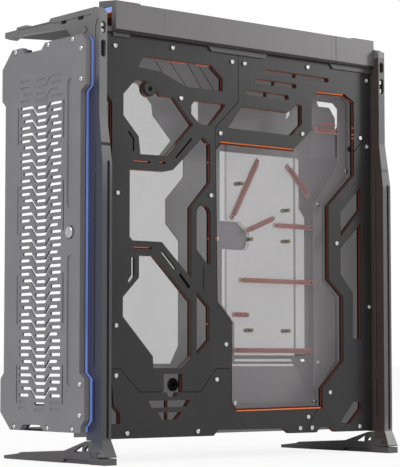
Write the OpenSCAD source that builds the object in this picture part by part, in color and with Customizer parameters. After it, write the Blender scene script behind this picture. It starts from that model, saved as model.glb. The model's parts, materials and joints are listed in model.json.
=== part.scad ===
// Full-tower computer case: two C-shaped end frames carry a slotted front panel,
// layered side plates with angular windows, an acrylic board sheet and a top rail.
// X runs from the front panel to the rear, Y from the dark side to the glass side.

/* [Body] */
// Length of the dark side, from its front edge to the rear frame
side_l = 486.6; // [482:0.2:530]
// Height of the dark side
side_h = 547; // [542:1:590]
// Depth from the outer face of the dark side to the glass
body_d = 190; // [184:1:215]
// Thickness of the dark side plates
plate_t = 4; // [3:0.5:4.5]
// Thickness of the edge-lit sheets
glow_t = 5; // [4:0.5:6]
// Width of the joint between two side plates
joint_w = 0.9; // [0.5:0.1:1.5]
// Cable space between the edge-lit side sheet and the tray
cable_gap = 29; // [26:0.5:32]
// Thickness of the tray, bulkhead, top, bottom and rear sheets
sheet_t = 3; // [2:0.5:4]
// Thickness of the clear board sheet
board_t = 5; // [4:0.5:6]
// Thickness of the side glass
glass_t = 4; // [3:0.5:5]
// Width left open between the front and the glass
glass_from = 78; // [60:1:100]

/* [Frames] */
// Thickness of an end frame
frame_t = 12.5; // [10:0.5:14]
// Extra thickness of the lower half of a column
cheek_t = 3.5; // [2:0.5:5]
// Extra thickness of the heel
heel_t = 7; // [5:0.5:9]
// Distance from the front frame to the side plate's front edge
frame_gap = 22; // [20:0.5:26]
// How far a column's upper half stands out from the dark side
proud_top = 18; // [16:0.5:22]
// How far a column's lower half stands out from the dark side
proud_low = 25.5; // [23:0.5:30]
// Height of the side plates above the floor
foot_h = 32.5; // [30:0.5:40]
// How far an arm reaches beyond the glass side
arm_over = 21; // [15:1:30]
// How far a foot reaches beyond the glass side
foot_over = 16; // [10:1:25]
// Depth of the long channel in a column
channel_d = 3; // [2:0.5:5]
// Depth of the step along a foot's lower edge
inset_d = 3; // [1.5:0.5:5]

/* [Front panel] */
// Thickness of the panel's skin
skin_t = 3; // [2.5:0.5:4]
// Depth of the folded edge, skin included
fold_d = 8.5; // [7:0.5:12]
// Thickness of the folded edge
fold_t = 2.5; // [2:0.5:4]
// Distance between grille rows
row_pitch = 9.21; // [8.8:0.01:9.8]
// Width of a grille slot
slot_w = 3.9; // [3:0.1:4.4]
// Width of the thin upright slots
thin_w = 2.4; // [1.5:0.1:3]
// Depth of the engraved rows
engrave_d = 0.8; // [0.4:0.1:1.2]
// Depth of the two long recesses
recess_d = 1.6; // [1:0.1:2]
// Width of the two long recesses
recess_w = 12; // [10:0.5:14]

/* [Power button] */
// Radius of the button
button_r = 7.8; // [6.5:0.1:8.5]
// How far the button stands out
button_proud = 2.6; // [2:0.1:4]
// Travel of the button
button_travel = 1.5; // [0.8:0.1:2]
// Running gap round the button
button_gap = 0.25; // [0.2:0.05:0.4]

/* [Top rail] */
// Width of the rail
rail_w = 39; // [36:0.5:44]
// Height of the rail on the dark side
rail_h = 40; // [34:0.5:50]
// Thickness of the rail's outer wall
rail_wall = 10; // [8:0.5:12]
// Overhang of the rail beyond the dark side
rail_over = 8; // [6:0.5:10]
// Thickness of the rail's roof and back
rail_skin = 4; // [3:0.5:5]

/* [Fasteners] */
// Depth of the seats along the front panel's top and bottom
seat_d = 2.1; // [1.2:0.1:2.2]
// Radius of a screw head
head_r = 3.1; // [2.8:0.1:3.4]
// Height of a screw head
head_h = 2.4; // [1.8:0.1:3]
// Radius of a screw shank
shank_r = 1.5; // [1.2:0.1:1.7]
// Radial gap round a shank
shank_gap = 0.3; // [0.2:0.05:0.4]
// Radius of a spacer post
post_r = 4; // [3.4:0.1:4.4]
// Width of a cable comb
comb_w = 7; // [6:0.2:8]
// Thickness of a cable comb
comb_t = 1.5; // [1:0.1:2]
// Distance between comb teeth
comb_pitch = 3.6; // [3.2:0.1:5]
// How far comb teeth stand out
comb_reach = 4; // [2:0.5:6]
// Height of a board standoff behind the tray
standoff_h = 6.5; // [5:0.5:7.5]
// Radius of a cable bush
bush_r = 9.4; // [8.6:0.1:10]

/* [Hidden] */
$fn = 32;
e = 0.01;
L = side_l;
H = side_h;
glow_y = plate_t;
post_y = plate_t + glow_t;
tray_y = post_y + cable_gap;
tray_back = tray_y + sheet_t;
board_y = tray_y - board_t;
cover_t = 2;
hole_r = shank_r + shank_gap;
// front stack along X
front_x = -frame_gap - frame_t;
blue_x = front_x - glow_t;
skin_x = blue_x - fold_d;
bulk_x = front_x;
// rear frame
rear_x = L;
thick = frame_t + cheek_t;
rear_panel_x = rear_x + thick;
rear_end = rear_panel_x + sheet_t;
// heights
arm_z = H + 15;
top_z = H + 16;
bottom_z = 8;
arm_tip = body_d + arm_over;
foot_tip = body_d + foot_over;
heel_y = -proud_low - 7.5;
// front panel
panel_y0 = -5;
panel_y1 = body_d + 6;
panel_z0 = 9;
panel_z1 = H - 8;
web_y = 8;
grille_top = H - 94;
grille_y = 99.5;
rows = round((grille_top - 57) / row_pitch) + 1;
drop = 0.24 * row_pitch;
button_y = 29.5;
button_z = 275;
switch_r = button_r + 3.2;
// shift that puts the middle of the footprint at the origin
x_min = skin_x - button_proud;
x_max = rear_x + frame_t + heel_t;
shift = [-(x_min + x_max) / 2, -(heel_y + arm_tip) / 2, foot_h];

// helpers: flat outlines stood up in the object's planes
module stand_yz(x, t) { translate([x, 0, 0]) rotate([90, 0, 90]) linear_extrude(t) children(); }
module stand_xz(y, t) { translate([0, y + t, 0]) rotate([90, 0, 0]) linear_extrude(t) children(); }
// a slot with round ends a hair wider than its sides
module stroke(a, b, w) {
  d = b - a;
  translate((a + b) / 2) rotate(atan2(d[1], d[0])) square([norm(d), w], center = true);
  translate(a) circle(d = w + 0.06);
  translate(b) circle(d = w + 0.06);
}
module path(pts, w) { for (i = [0:len(pts) - 2]) stroke(pts[i], pts[i + 1], w); }
module dots(pts, r) { for (p = pts) translate(p) circle(r); }
module along_y(x, y, z, r, h) { translate([x, y, z]) rotate([-90, 0, 0]) cylinder(r = r, h = h); }
module along_x(x, y, z, r, h) { translate([x, y, z]) rotate([0, 90, 0]) cylinder(r = r, h = h); }

// end frames
column_pts = [[-proud_low - 2.5, -6], [-proud_low, 0], [-proud_low, H - 182], [-proud_top, H - 117],
              [-proud_top, arm_z], [web_y, arm_z], [web_y, H + 10], [web_y + 54, H + 10],
              [web_y, H - 42], [web_y, -1], [-5, -1], [-5, -12.7],
              [-proud_low + 7.7, -12.7], [-proud_low + 7.7, -21], [heel_y, -21]];
module column_shape(x) {
  intersection() {
    stand_yz(x, 40) polygon(column_pts);
    stand_xz(-60, 200)
      polygon([[x, -22], [x + frame_t + heel_t, -22], [x + thick, -2], [x + thick, H - 182],
               [x + frame_t, H - 117], [x + frame_t, arm_z + 1], [x, arm_z + 1]]);
  }
}
module column_cuts(x) {
  // thin lines on the face towards the front
  stand_yz(x - 1, 2.2) {
    path([[-9, H - 98], [-9, H + 2], [-13.5, H + 11]], 2);
    stroke([-9, 360], [-9, 392], 3);
    stroke([-9, 98], [-9, 350], 3);
    stroke([-9, 23], [-9, 75], 4);
  }
  // screw slots near the top
  stand_xz(-proud_top - 1, 6) {
    stroke([x + 6.3, H - 4], [x + 6.3, H + 4], 8);
    stroke([x + 6.3, H - 36], [x + 6.3, H - 21], 8);
  }
  // joint lines where the heel keys into the foot
  heel_lines(x);
  // long channel down the edge
  stand_xz(-proud_low - 1, channel_d + 1) stroke([x + 10.1, 4], [x + 10.1, H - 181], 4);
  // chevron on the corner web
  stand_yz(x - 1, 2) path([[16, H + 5], [9.5, H], [16, H - 5]], 1.6);
}
module heel_lines(x) {
  stand_yz(x - 1, 2.2)
    path([[-2.4, -16], [-2.4, -22.4], [-15.4, -22.8], [-16.4, -16.9], [-22.7, -16.7]], 1.2);
}
module column_bores(x, zs) {
  for (z = zs) along_y(x + 6.3, -proud_top, z, hole_r, 15);
}
front_zs = [H - 4, H + 4];
rear_zs = [H - 35, H - 22];
module front_column() {
  color([0.49, 0.48, 0.48]) difference() {
    column_shape(front_x);
    column_cuts(front_x);
    column_bores(front_x, concat(front_zs, rear_zs));
    for (p = panel_screw_pts) along_x(front_x - 1, p[0], p[1], hole_r, 9);
    for (p = edge_screw_pts) along_x(front_x - 1, p[0], p[1], hole_r, sheet_t + 3);
  }
}
module rear_column() {
  color([0.43, 0.42, 0.42]) difference() {
    column_shape(rear_x);
    column_cuts(rear_x);
    column_bores(rear_x, concat(front_zs, rear_zs));
  }
}
foot_pts = [[foot_tip, -28], [foot_tip - 1.5, -foot_h], [heel_y, -foot_h], [heel_y, -21],
            [-proud_low + 7.7, -21],
            [-proud_low + 7.7, -12.7], [-5, -12.7], [-5, -1], [10, -2], [59, -16],
            [foot_tip - 42, -22], [foot_tip - 36, -24]];
module foot_shape(x) {
  difference() {
    intersection() {
      stand_yz(x, frame_t + heel_t) difference() {
        polygon(foot_pts);
        polygon([[36, -17], [18, -9.5], [18, -17]]);
        polygon([[14, -14.5], [4, -6.5], [4, -14.5]]);
      }
      union() {
        translate([x, heel_y - 1, -foot_h - 1]) cube([frame_t, foot_tip - heel_y + 2, foot_h + 2]);
        translate([x, heel_y - 1, -foot_h - 1]) cube([frame_t + heel_t, -heel_y - 4, foot_h + 2]);
      }
    }
    // step along the lower edge and the joint lines of the heel
    stand_yz(x - 1, 1 + inset_d)
      polygon([[64.3, -foot_h - 1], [58.5, -26.8], [5, -26.4], [-1, -foot_h - 1]]);
    heel_lines(x);
  }
}
module front_foot() { color([0.42, 0.41, 0.42]) foot_shape(front_x); }
module rear_foot() { color([0.35, 0.34, 0.35]) foot_shape(rear_x); }
arm_pts = [[-proud_top, arm_z], [web_y, arm_z], [web_y, H + 10], [web_y + 54, H + 10],
           [arm_tip - 34, H + 16], [arm_tip - 24, H + 15.5], [arm_tip - 13, H + 12],
           [arm_tip, H + 16], [arm_tip, H + 24], [arm_tip - 28, H + 24], [arm_tip - 31, H + 27.5],
           [arm_tip - 54, H + 27.5], [arm_tip - 58, H + 24], [101, H + 24], [97, H + 28],
           [-proud_top + 9, H + 28], [-proud_top + 4, H + 24], [-proud_top, H + 24]];
module arm_shape(x) {
  stand_yz(x, frame_t) difference() {
    polygon(arm_pts);
    translate([59, H + 15.5]) square([13, 5]);
    translate([19, H + 15.5]) square([13, 5]);
  }
}
// long lines on the face towards the front
module arm_lines(x) {
  stand_yz(x - 1, 2) {
    path([[arm_tip - 36, H + 23], [92, H + 21.3], [88, H + 19.5], [2, H + 19]], 1.4);
    path([[40, H + 3], [34, H + 9.5], [28, H + 3]], 1.4);
  }
}
module front_arm() {
  color([0.5, 0.49, 0.5]) difference() { arm_shape(front_x); arm_lines(front_x); }
}
module rear_arm() {
  color([0.42, 0.41, 0.42]) difference() { arm_shape(rear_x); arm_lines(rear_x); }
}

// front panel
function panel_pts(i) = let (k = 0.4 * i, a = panel_y0, b = panel_y1, c = panel_z0, d = panel_z1) [
  [a + 8 + i, c + i], [88 - k, c + i], [98 - k, c + 8 + i], [138 + k, c + 8 + i], [147 + k, c + i],
  [b - 26 - k, c + i], [b - 1 - i, c + 24 + k], [b - 1 - i, c + 70 - k], [b - 9 - i, c + 78 - k],
  [b - 9 - i, d - 78 + k], [b - i, d - 70 + k], [b - i, d - 25 - k], [b - 25 - k, d - i],
  [147 + k, d - i], [140 + k, d - 9 - i], [99 - k, d - 9 - i], [90 - k, d - i],
  [a + 10 + k, d - i], [a + i, d - 10 - k], [a + i, d - 69 + k], [a + 11 + i, d - 77 + k],
  [a + 11 + i, c + 79 - k], [a + i, c + 71 - k], [a + i, c + 17 + k], [a + 8 + i, c + 8 + k]];
panel_screw_pts = [[3.4, H - 28], [3.4, H - 69], [3.4, 73], [3.4, 32]];
edge_screw_pts = [[164, panel_z1 - 4.5], [84, panel_z1 - 4.5], [26, panel_z1 - 4.5],
                  [161, panel_z0 + 4.5], [80, panel_z0 + 4.5], [23, panel_z0 + 4.5]];
module chevron(z, s) {
  r = slot_w / 2;
  path([[149 - r - s, z], [121.5, z], [110.5, z - row_pitch - drop],
        [87.5, z - row_pitch - drop], [76.5, z], [50 + r + s, z]], slot_w);
}
module dashes(z) {
  r = slot_w / 2;
  stroke([149 - r, z], [125 + r, z], slot_w);
  stroke([74 - r, z], [50 + r, z], slot_w);
}
module mid_dash(z) { stroke([111 - slot_w / 2, z - drop], [87 + slot_w / 2, z - drop], slot_w); }
module grille_row(i) {
  z = grille_top - i * row_pitch;
  if (i % 4 == 0) chevron(z, 0);
  if (i % 4 == 2 || i % 4 == -2) chevron(z, 7.5);
  if (i % 2 != 0) dashes(z);
  if (i % 2 == 0) mid_dash(z);
}
module thin_slots() {
  for (y = [44.5, 154.5]) for (s = [[H - 143, H - 93], [279, 345], [155, 221], [47, 97]])
    stroke([y, s[0]], [y, s[1]], thin_w);
}
module front_panel() {
  color([0.51, 0.5, 0.51]) difference() {
    union() {
      stand_yz(skin_x, skin_t) difference() {
        polygon(panel_pts(0));
        for (i = [0:rows - 1]) grille_row(i);
        mid_dash(grille_top - rows * row_pitch);
        thin_slots();
      }
      stand_yz(skin_x + skin_t - e, fold_d - skin_t + e) difference() {
        polygon(panel_pts(0));
        polygon(panel_pts(fold_t));
      }
    }
    // engraved rows above and below the open ones
    stand_yz(skin_x - 1, 1 + engrave_d) {
      for (i = [-4:-1]) grille_row(i);
      dashes(grille_top - rows * row_pitch);
      stroke([110, grille_top - (rows + 1) * row_pitch - drop],
             [88, grille_top - (rows + 1) * row_pitch - drop], slot_w);
      dashes(grille_top - (rows + 1) * row_pitch);
    }
    // long recesses above and below the button
    stand_yz(skin_x - 1, 1 + recess_d) {
      stroke([30.5, 313], [30.5, H - 71], recess_w);
      stroke([29, 76], [29, 238], recess_w);
    }
    // dished ring and hole of the button
    translate([skin_x - e, button_y, button_z]) rotate([0, 90, 0])
      cylinder(r1 = button_r + 2.4, r2 = button_r + button_gap, h = 1.6);
    along_x(skin_x - 1, button_y, button_z, button_r + button_gap, skin_t + 2);
    for (p = panel_screw_pts) along_x(skin_x - 1, p[0], p[1], hole_r, fold_d + 2);
    for (p = edge_screw_pts) {
      s = p[1] > H / 2 ? 1 : -1;
      stand_yz(skin_x - 1, 1 + seat_d) {
        translate(p) circle(head_r + 0.8);
        polygon([[p[0] - head_r - 0.6, p[1]], [p[0] + head_r + 0.6, p[1]],
                 [p[0] + head_r + 2.6, p[1] + s * 10], [p[0] - head_r - 2.6, p[1] + s * 10]]);
      }
      along_x(skin_x - 1, p[0], p[1], hole_r, skin_t + 2);
    }
  }
}
// air opening behind the grille, shared by the sheet and the bulkhead
intake_pts = [[45, 58], [58, 45], [160, 45], [172, 57], [172, H - 92], [160, H - 80], [58, H - 80],
              [45, H - 93]];
module front_glow_sheet() {
  color([0.3, 0.4, 0.9]) stand_yz(blue_x, glow_t) difference() {
    // proud of the panel along the dark side only
    union() {
      polygon(panel_pts(1.2));
      intersection() {
        polygon(panel_pts(-0.8));
        translate([panel_y0 - 2, panel_z0 + 9]) square([20, panel_z1 - panel_z0 - 12]);
      }
    }
    polygon(intake_pts);
    translate([button_y, button_z]) circle(switch_r + 0.5);
    dots(panel_screw_pts, hole_r);
    dots(edge_screw_pts, hole_r);
  }
}
module front_bulkhead() {
  color([0.3, 0.3, 0.31]) stand_yz(bulk_x, sheet_t) difference() {
    intersection() {
      polygon(panel_pts(1));
      translate([web_y, 0]) square([body_d - web_y, H]);
    }
    polygon(intake_pts);
    // cut back round the column's corner web
    polygon([[web_y - 1, H - 45], [web_y + 0.3, H - 42.5], [web_y + 56, H + 11], [web_y - 1, H + 11]]);
    dots(edge_screw_pts, hole_r);
  }
}

// dark side: one outline, cut by the windows and four joints
side_outline = [[0, 0], [L, 0], [L, H], [-frame_gap, H], [-frame_gap, H - 86], [-9, H - 86],
                [0, H - 95]];
win_big = [[180, H - 145], [191, H - 134], [L - 156, H - 134], [L - 121, H - 103], [L - 121, H - 56],
           [L - 111, H - 45], [L - 54, H - 44], [L - 35, H - 54], [L - 35, 382], [L - 88, 333],
           [L - 88, 224], [L - 59, 199], [L - 59, 104], [L - 102, 64], [L - 102, 35],
           [220, 33], [209, 43], [209, 157], [183, 185]];
// the edge-lit sheet shows a narrow lip above and below the big window
lip = 2.6;
win_big_lip = [[180, H - 145], [191, H - 134 - lip], [L - 156, H - 134 - lip], [L - 121, H - 103],
               [L - 121, H - 56], [L - 111, H - 45 - lip], [L - 54, H - 44 - lip], [L - 35, H - 54],
               [L - 35, 382], [L - 88, 333], [L - 88, 224], [L - 59, 199], [L - 59, 104],
               [L - 102, 64], [L - 102, 35 + lip], [221.5, 33 + lip], [209, 43 + lip], [209, 157],
               [183, 185]];
win_a = [[44, H - 44], [54, H - 28], [173, H - 28], [194, H - 45], [194, H - 63], [129, H - 63],
         [82, H - 46]];
win_b = [[39, H - 62], [67, H - 62], [85, H - 80], [107, H - 80], [140, H - 115], [94, H - 162],
         [48, H - 163], [45, H - 139], [19, H - 112], [19, H - 83]];
win_c = [[30, H - 185], [90, H - 184], [104, H - 181], [124, H - 163], [158, H - 131],
         [171, H - 141], [171, H - 194], [137, H - 231], [137, H - 329], [85, H - 281],
         [35, H - 281], [30, H - 276]];
win_d = [[46, 246], [73, 246], [137, 185], [137, 110], [119, 94], [71, 94], [70, 110], [19, 163],
         [19, 189], [46, 216]];
win_e = [[230, H - 81], [L - 169, H - 82], [L - 149, H - 68], [L - 141, H - 70],
         [L - 141, H - 97], [L - 161, H - 115], [204, H - 114]];
win_f = [[143, H - 81], [197, H - 81], [198, H - 84], [170, H - 115], [151, H - 112],
         [137, H - 100], [137, H - 88]];
win_g = [[L - 22, 365], [L - 22, 330], [L - 63, 289], [L - 64, 324]];
win_h = [[L - 22, 310], [L - 22, 136], [L - 40, 138], [L - 39, 205], [L - 64, 233], [L - 64, 271]];
win_i = [[L - 39, 44], [L - 22, 43], [L - 22, 33], [L - 46, 11], [L - 67, 12]];
win_j = [[89, 86], [121, 86], [121, 61], [114, 61], [111, 55], [97, 55], [94, 61], [89, 61]];
win_k = [[63, 50], [135, 50], [129, 41], [68, 40]];
win_l = [[79, 34], [121, 34], [111, 24], [86, 24]];
win_m = [[186, 8], [310, 7], [322, -1], [176, -1]];
win_n = [[L - 106.6, 7], [L - 86.6, 7], [L - 73.6, -1], [L - 115.6, -1]];
corner_cut = [[-1, 74], [2, 70], [4, 45], [15, 34], [15, 20], [-1, 20]];
// three short bars above, each split by a rib in the edge-lit sheet
bars = [[[276, H - 26.5], [L - 90, H - 26.5]], [[258, H - 42], [L - 155, H - 42]],
        [[242, H - 60], [L - 170, H - 60]]];
bar_w = 7;
module side_windows(ribs) {
  difference() {
    union() {
      for (w = [win_a, win_b, win_c, win_d, win_e, win_f, win_g, win_h, win_i, win_j, win_k,
                win_l, win_m, win_n, corner_cut]) polygon(w);
      for (b = bars) stroke(b[0], b[1], bar_w);
    }
    if (ribs) {
      for (b = bars) translate([(b[0][0] + b[1][0]) / 2 - 1.2, b[0][1] - 5]) square([2.4, 10]);
      translate([96, 22]) square([2.4, 30]);
    }
    // lug that carries the bush
    translate(side_bush_p) circle(bush_r + 1.4);
  }
}
side_bush_p = [63, H - 72];
module side_slits() {
  path([[28, H - 134], [36, H - 143], [36, H - 159]], 2.6);
  stroke([110, H - 163], [137, H - 135], 2.4);
  stroke([37, H - 173], [64, H - 173], 2.6);
  stroke([82, H - 172], [90, H - 172], 2.6);
  stroke([38, H - 290.5], [66, H - 290.5], 2.6);
  path([[35, 242], [35, 219], [30, 213]], 2.6);
  stroke([86, H - 290], [106, H - 309], 2.4);
  stroke([113, H - 320], [128, H - 335], 2.4);
  path([[153, H - 226], [168, H - 238], [168, H - 308]], 2.4);
}
module joints() {
  path([[223, H + 9], [223, H - 75], [180, H - 116], [180, H - 145]], joint_w);
  path([[-30, 93], [15, 93], [48, 62], [153, 61], [182, 93], [212, 93]], joint_w);
  stroke([L - 111, 36], [L - 139, -3], joint_w);
  stroke([L + 3, H - 92.5], [L - 37, H - 131], joint_w);
}
post_pts = [[7, 84], [7, 151], [9, 329], [103, H - 11], [234, H - 19], [L - 130, H - 11],
            [L - 9, H - 19], [189, H - 123], [L - 9, H - 120], [199, 127], [182, 78], [26, 7],
            [148, 7], [L - 131.6, 23], [L - 28, 7]];
clamp_pts = [[4, H - 19], [118, H - 80], [211, H - 19], [L - 141, H - 111], [L - 23, H - 108],
             [172, H - 212], [L - 73, 278], [L - 6, 185], [L - 88, 58], [L - 147.6, 7],
             [L - 124.6, 7]];
module side_layer(big, ribs, slits) {
  difference() {
    polygon(side_outline);
    polygon(big);
    side_windows(ribs);
    if (slits) side_slits();
    dots(concat(post_pts, clamp_pts), hole_r);
    translate(side_bush_p) circle(bush_r - 3);
  }
}
region_front = [[-60, H + 60], [223, H + 60], [223, H - 75], [180, H - 116], [180, H - 145],
                [200, H - 170], [225, 120], [209, 93], [182, 93], [153, 61], [48, 62], [15, 93],
                [-60, 93]];
region_top = [[223, H + 60], [223, H - 75], [180, H - 116], [180, H - 145], [200, H - 170],
              [L - 186, H - 247], [L - 46, H - 147], [L - 35, H - 129], [L + 60, H - 37.6],
              [L + 60, H + 60]];
region_rear = [[L + 60, H - 37.6], [L - 35, H - 129], [L - 46, H - 147], [L - 186, H - 247],
               [L - 106, 60], [L - 111, 36], [L - 154, -24], [L + 60, -24]];
region_bottom = [[-60, 93], [15, 93], [48, 62], [153, 61], [182, 93], [209, 93], [225, 120],
                 [L - 106, 60], [L - 111, 36], [L - 154, -24], [-60, -24]];
module side_plate(region) {
  stand_xz(0, plate_t) intersection() {
    difference() { side_layer(win_big, false, true); joints(); }
    polygon(region);
  }
}
module side_plate_front() { color([0.22, 0.21, 0.22]) side_plate(region_front); }
module side_plate_top() { color([0.17, 0.16, 0.17]) side_plate(region_top); }
module side_plate_rear() { color([0.13, 0.13, 0.13]) side_plate(region_rear); }
module side_plate_bottom() { color([0.15, 0.15, 0.15]) side_plate(region_bottom); }
module side_glow_sheet() {
  color([0.9, 0.4, 0.15]) stand_xz(glow_y, glow_t) side_layer(win_big_lip, true, false);
}
module spacer_posts() {
  color([0.3, 0.3, 0.31]) for (p = post_pts) difference() {
    along_y(p[0], post_y, p[1], post_r, cable_gap);
    along_y(p[0], post_y - 1, p[1], hole_r, 8);
  }
}

// tray, board sheet and what they carry
tray_open = [[220, H - 142], [L - 114, H - 142], [L - 111, H - 145], [L - 111, 330], [L - 100, 317],
             [L - 100, 112], [247, 112], [247, 158], [224, 184], [224, 264], [265, 264],
             [270, 270], [271, 289], [252, 304], [220, 304]];
tray_left = [[22, H - 59], [72, H - 59], [79, H - 67], [98, H - 86], [100, H - 101], [132, H - 134],
             [110, H - 158], [154.5, H - 158], [154.5, H - 184], [123, H - 217], [123, H - 252], [146, H - 275],
             [146, 125], [132, 100], [22, 100]];
tray_right = [[L - 76, H - 52], [L - 41, H - 52], [L - 31, H - 60], [L - 31, H - 135],
              [L - 38, H - 135], [L - 38, H - 75], [L - 50, H - 60], [L - 72, H - 60]];
board_screw_pts = [[L - 20.4, 392], [243, 44], [L - 88, 44]];
tab_screw_p = [214, 278];
cover_screw_pts = [[L - 82, 338], [L - 82, 102]];
tray_bush_p = [134, 71];
module tray() {
  color([0.4, 0.39, 0.4]) stand_xz(tray_y, sheet_t) difference() {
    polygon([[front_x + sheet_t, 2], [rear_panel_x, 2], [rear_panel_x, H - 20], [L, H - 20],
             [L, top_z], [-frame_gap, top_z], [-frame_gap, H - 20], [front_x + sheet_t, H - 20]]);
    polygon(tray_open);
    polygon(tray_left);
    polygon(tray_right);
    stroke([249, 105], [L - 128, 105], 3.6);
    stroke([244, 98], [L - 124, 98], 3.2);
    stroke([L - 109, 105], [L - 102, 105], 3.6);
    dots(concat(board_screw_pts, cover_screw_pts, [tab_screw_p]), hole_r);
    translate(tray_bush_p) circle(bush_r - 3);
  }
}
board_outline = [[229, H - 129], [L - 142, H - 129], [L - 102, H - 92], [L - 102, H - 53],
                 [L - 92, H - 40], [L - 32, H - 39], [L - 16, H - 51], [L - 16, 385], [L - 66, 335],
                 [L - 66, 226], [L - 40, 201], [L - 40, 102], [L - 83, 62], [L - 83, 30], [229, 30]];
// standard spacings of a board's mounting holes
hole_dx = 72.39;
hole_dz = 132.08;
board_p = [275.6, 148];
standoff_pts = [board_p, board_p + [hole_dx, 0], board_p + [0, hole_dz], board_p + [hole_dx, hole_dz],
                board_p + [hole_dx, hole_dz + 45.72], [257, H - 187]];
combs = [[[286, H - 153], [238, H - 237]], [[L - 141, H - 157], [L - 101, H - 197]],
         [[266, H - 255], [316, H - 235]], [[322, H - 245], [L - 95, H - 245]], [[256, 220], [L - 95, 220]],
         [[243, 170], [266, 170]], [[244, 119], [L - 95, 119]], [[L - 84, H - 97], [L - 42, H - 97]]];
module comb_slot(c) {
  stroke(c[0], c[1], comb_w - 4);
}
module board_sheet() {
  color([0.75, 0.74, 0.75, 0.6]) stand_xz(board_y, board_t) difference() {
    polygon(board_outline);
    for (c = combs) comb_slot(c);
    dots(concat(board_screw_pts, cover_screw_pts, standoff_pts), hole_r);
  }
}
cover_outline = [[L - 90, 64], [L - 84, 60], [L - 47, 105], [L - 47, 198], [L - 73, 223],
                 [L - 73, 338], [L - 24, 388], [L - 24, H - 53], [L - 34, H - 45],
                 [L - 38, H - 49], [L - 38, 400], [L - 90, 336]];
module cover_plate() {
  color([0.55, 0.53, 0.54]) stand_xz(board_y - cover_t, cover_t) difference() {
    polygon(cover_outline);
    dots(cover_screw_pts, hole_r);
  }
}
module comb(c) {
  d = c[1] - c[0];
  n = floor(norm(d) / comb_pitch);
  color([0.75, 0.45, 0.4]) difference() {
    translate([0, board_y, 0]) rotate([90, 0, 0]) union() {
      // base plate with an eye at each end
      translate(c[0]) rotate(atan2(d[1], d[0])) translate([-comb_w / 2, -comb_w / 2])
        cube([norm(d) + comb_w, comb_w, comb_t]);
      for (p = c) translate(p) cylinder(r = comb_w / 2 - 0.4, h = comb_t + 1.6);
      // teeth that stand towards the dark side
      translate(c[0]) rotate(atan2(d[1], d[0])) for (i = [1:n - 1])
        translate([(norm(d) - n * comb_pitch) / 2 + i * comb_pitch - 0.7, -comb_w / 2 + 1.3, comb_t - e])
          cube([1.4, comb_w - 2.6, comb_reach]);
    }
    for (p = c) along_y(p[0], board_y - comb_t - 2, p[1], 1.3, 2);
  }
}
module comb_upper_left() { comb(combs[0]); }
module comb_upper_right() { comb(combs[1]); }
module comb_middle_left() { comb(combs[2]); }
module comb_middle_right() { comb(combs[3]); }
module comb_long_upper() { comb(combs[4]); }
module comb_short() { comb(combs[5]); }
module comb_long_lower() { comb(combs[6]); }
module comb_top() { comb(combs[7]); }
module board_standoffs() {
  color([0.6, 0.56, 0.54]) for (p = standoff_pts) difference() {
    union() {
      along_y(p[0], board_y - 1.2, p[1], 2.9, 1.2);
      along_y(p[0], board_y - e, p[1], shank_r, board_t + 2 * e);
      translate([p[0], board_y + board_t, p[1]]) rotate([-90, 0, 0])
        cylinder(r = 3.2, h = standoff_h + sheet_t, $fn = 6);
    }
    along_y(p[0], tray_y, p[1], shank_r, standoff_h + sheet_t + 1);
  }
}
module bush(p, y, t) {
  color([0.09, 0.09, 0.09]) translate([p[0], y, p[1]]) rotate([-90, 0, 0])
    rotate_extrude() polygon([[3.6, -2], [bush_r - 0.8, -2], [bush_r, -1.2], [bush_r, 0],
                              [bush_r - 3.3, 0], [bush_r - 3.3, t], [3.6, t]]);
}
module side_bush() { bush(side_bush_p, 0, plate_t + glow_t); }
module tray_bush() { bush(tray_bush_p, tray_y, sheet_t); }

// top rail in three lengths, with a bar of light along its inside
rail_y1 = rail_w - rail_over;
function rail_pts(up) = [[-rail_over, H], [rail_wall - rail_over, H],
  [rail_wall - rail_over, H + rail_h - rail_skin - 1], [rail_y1 - rail_skin + 1, H + rail_h - rail_skin],
  [rail_y1 - rail_skin + 1, H + 14], [rail_y1, H + 14], [rail_y1, H + rail_h + 4 + up],
  [-rail_over, H + rail_h + up]];
module rail_run(x0, x1, up) { stand_yz(x0, x1 - x0) polygon(rail_pts(up)); }
module rail_tab(pts) { stand_xz(-2.5, 2.5) polygon(pts); }
rail_split_a = 83;
rail_split_b = L - 87.6;
module rail_front() {
  color([0.5, 0.49, 0.5]) {
    rail_run(0, 41, 1.6);
    rail_run(41 - e, rail_split_a - 0.2, 0);
    rail_tab([[0, H + e], [31, H + e], [25, H - 6], [0, H - 6]]);
  }
}
module rail_middle() {
  color([0.5, 0.49, 0.5]) {
    rail_run(rail_split_a, rail_split_b - 0.2, 0);
    rail_tab([[166, H + e], [278, H + e], [274, H - 5], [270, H - 8], [172, H - 8]]);
  }
}
module rail_rear() {
  color([0.5, 0.49, 0.5]) difference() {
    union() {
      rail_run(rail_split_b, L - 40, 0);
      rail_run(L - 40 - e, L, 1.6);
      rail_tab([[L - 86, H + e], [L, H + e], [L, H - 8], [L - 80, H - 8]]);
    }
    translate([rail_split_b + 8.4, -rail_over - 1, H - 1]) cube([0.9, 1.8, rail_h + 10]);
  }
}
bar_y0 = rail_wall - rail_over;
bar_y1 = rail_y1 - rail_skin + 1;
module rail_blue_bar() {
  color([0.35, 0.45, 0.95]) translate([0, bar_y0, H + rail_h - rail_skin - 6])
    cube([L, bar_y1 - bar_y0, 4]);
}
module rail_orange_bar() {
  color([0.95, 0.4, 0.15]) translate([0, bar_y0, H + rail_h - rail_skin - 12])
    cube([L, bar_y1 - bar_y0, 3]);
}

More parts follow.
